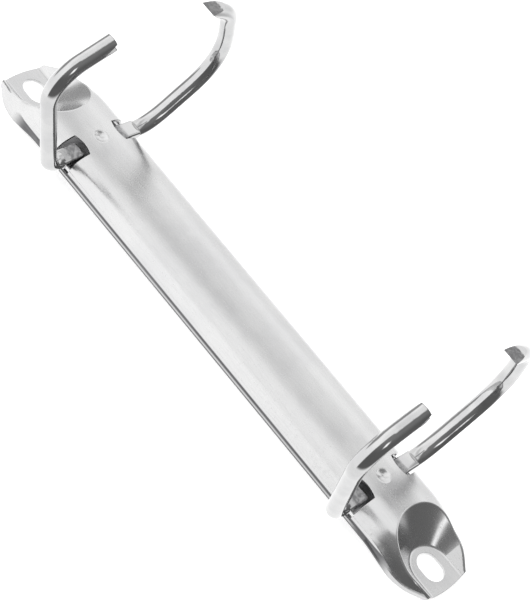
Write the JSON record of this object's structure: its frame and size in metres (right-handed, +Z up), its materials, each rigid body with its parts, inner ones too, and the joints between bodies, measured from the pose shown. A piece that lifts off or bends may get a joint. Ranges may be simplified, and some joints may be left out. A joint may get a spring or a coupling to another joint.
{
  "type": "ring binder mechanism",
  "caption": "Ring binder mechanism: arched sheet-steel cover with slotted end seats over hinged rails that carry D-shaped half rings, shown open.",
  "frame": {"origin": "middle of the base between the two slots, at the level of the mounting surface", "axes": "+X along the base, +Y across it towards the curved half rings, +Z up"},
  "size_m": [0.1228, 0.0472, 0.0371],
  "materials": {
    "cover": "nickel plated, satin bright",
    "rail": "plated, dull",
    "ring": "nickel plated, polished"
  },
  "bodies": {
    "base": {"cover_plate": "cover"},
    "left_leaf": {"left_rail": "rail", "left_ring_far": "ring", "left_ring_near": "ring"},
    "right_leaf": {"right_rail": "rail", "right_ring_far": "ring", "right_ring_near": "ring"}
  },
  "joints": [
    {"name": "left_swing", "type": "hinge", "parent": "base", "child": "left_leaf", "pos_m": [0, -0.0073, 0.00276], "axis": [-1, 0, 0], "range_deg": [0, 21.8]},
    {"name": "right_swing", "type": "hinge", "parent": "base", "child": "right_leaf", "pos_m": [0, 0.0073, 0.00276], "axis": [1, 0, 0], "range_deg": [0, 21.8]}
  ],
  "couplings": [
    {"joint": "right_swing", "follows": "left_swing", "ratio": 1}
  ]
}
